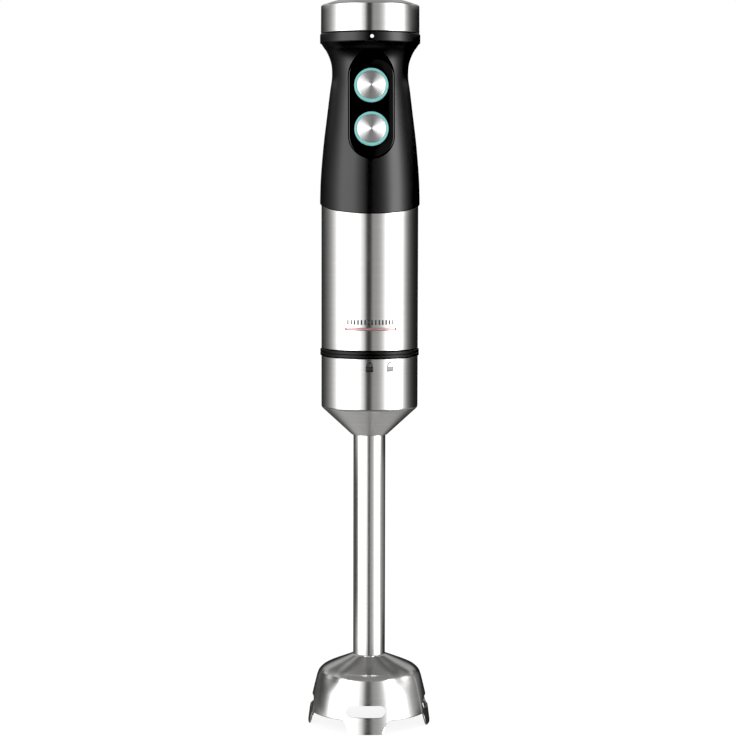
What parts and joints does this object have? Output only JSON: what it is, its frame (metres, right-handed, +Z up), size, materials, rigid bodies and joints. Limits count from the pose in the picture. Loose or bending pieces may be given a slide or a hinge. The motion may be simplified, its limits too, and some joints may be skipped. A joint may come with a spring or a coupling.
{
  "type": "immersion blender",
  "caption": "Stick blender with a speed dial, lit push buttons on a black grip, steel motor housing, twist-lock shaft and lobed blade guard.",
  "frame": {"origin": "on the long axis, at the bottom of the foot it stands on", "axes": "+Z up along the shaft from foot to dial, -Y is the front with the buttons, +X to the right seen from the front"},
  "size_m": [0.067, 0.067, 0.3964],
  "materials": {
    "dial_steel": "brushed round the axis, satin",
    "housing_steel": "fine brushed, satin",
    "shaft_steel": "polished, faintly brushed",
    "button_steel": "spun in circles",
    "blade_steel": "ground",
    "soft_black": "soft touch, fine grain",
    "gloss_black": "polished",
    "light_ring": "pale cyan, lit from inside",
    "index_white": "satin",
    "rubber_black": "matte",
    "inner_plastic": "moulded, fine texture",
    "pale_plastic": "moulded",
    "motor_steel": "machined and laminated",
    "copper": "enamelled winding wire",
    "brass": "drawn",
    "carbon": "pressed carbon",
    "board_green": "solder mask"
  },
  "bodies": {
    "motor_unit": {"handle_grip": "soft_black", "control_panel": "gloss_black", "light_ring_upper": "light_ring", "light_ring_lower": "light_ring", "index_light": "index_white", "top_deck": "inner_plastic", "cord_gland": "rubber_black", "speed_sensor": "pale_plastic", "control_board": "board_green", "button_switch_upper": "inner_plastic", "button_switch_lower": "inner_plastic", "motor_lead_left": "rubber_black", "motor_lead_right": "rubber_black", "motor_housing": "housing_steel", "gasket_ring": "rubber_black", "motor_carrier": "inner_plastic", "bayonet_socket": "inner_plastic", "field_stator": "motor_steel", "field_coil_front": "copper", "field_coil_rear": "copper", "brush_holder_left": "brass", "brush_holder_right": "brass", "carbon_brush_left": "carbon", "carbon_brush_right": "carbon", "upper_bracket": "inner_plastic", "upper_bearing": "motor_steel", "lower_bracket": "inner_plastic", "lower_bearing": "motor_steel", "through_bolt_front": "motor_steel", "through_bolt_rear": "motor_steel"},
    "speed_dial": {"speed_dial_cap": "dial_steel", "dial_hub": "inner_plastic"},
    "upper_button": {"button_upper": "button_steel"},
    "lower_button": {"button_lower": "button_steel"},
    "motor_rotor": {"motor_shaft": "motor_steel", "armature_core": "motor_steel", "armature_winding_lower": "copper", "armature_winding_upper": "copper", "commutator": "copper", "cooling_fan": "pale_plastic", "drive_coupler": "inner_plastic"},
    "blending_shaft": {"coupling_housing": "housing_steel", "coupling_insert": "inner_plastic", "shaft_tube": "shaft_steel", "upper_bush": "brass", "bearing_carrier": "inner_plastic", "lower_bush": "brass", "shaft_seal": "rubber_black", "bell_guard": "shaft_steel"},
    "blade_shaft": {"driven_coupler": "inner_plastic", "drive_rod": "motor_steel", "blade_collar": "blade_steel", "blade": "blade_steel", "blade_nut": "blade_steel"}
  },
  "joints": [
    {"name": "dial_turn", "type": "hinge", "parent": "motor_unit", "child": "speed_dial", "pos_m": [0, 0, 0.383], "axis": [0, 0, 1], "range_deg": [0, 270]},
    {"name": "button_upper_press", "type": "slide", "parent": "motor_unit", "child": "upper_button", "axis": [0, 0.9894, -0.1452], "range_m": [0, 0.0015], "stiffness_N_per_m": 600, "springref_m": -0.0015},
    {"name": "button_lower_press", "type": "slide", "parent": "motor_unit", "child": "lower_button", "axis": [0, 0.9894, -0.1452], "range_m": [0, 0.0015], "stiffness_N_per_m": 600, "springref_m": -0.0015},
    {"name": "rotor_spin", "type": "hinge", "parent": "motor_unit", "child": "motor_rotor", "pos_m": [0, 0, 0.25], "axis": [0, 0, 1], "continuous": true},
    {"name": "shaft_twist", "type": "hinge", "parent": "motor_unit", "child": "blending_shaft", "pos_m": [0, 0, 0.205], "axis": [0, 0, 1], "range_deg": [-25, 0]},
    {"name": "blade_spin", "type": "hinge", "parent": "blending_shaft", "child": "blade_shaft", "pos_m": [0, 0, 0.1], "axis": [0, 0, 1], "continuous": true}
  ],
  "couplings": [
    {"joint": "blade_spin", "follows": "rotor_spin", "ratio": 1}
  ]
}
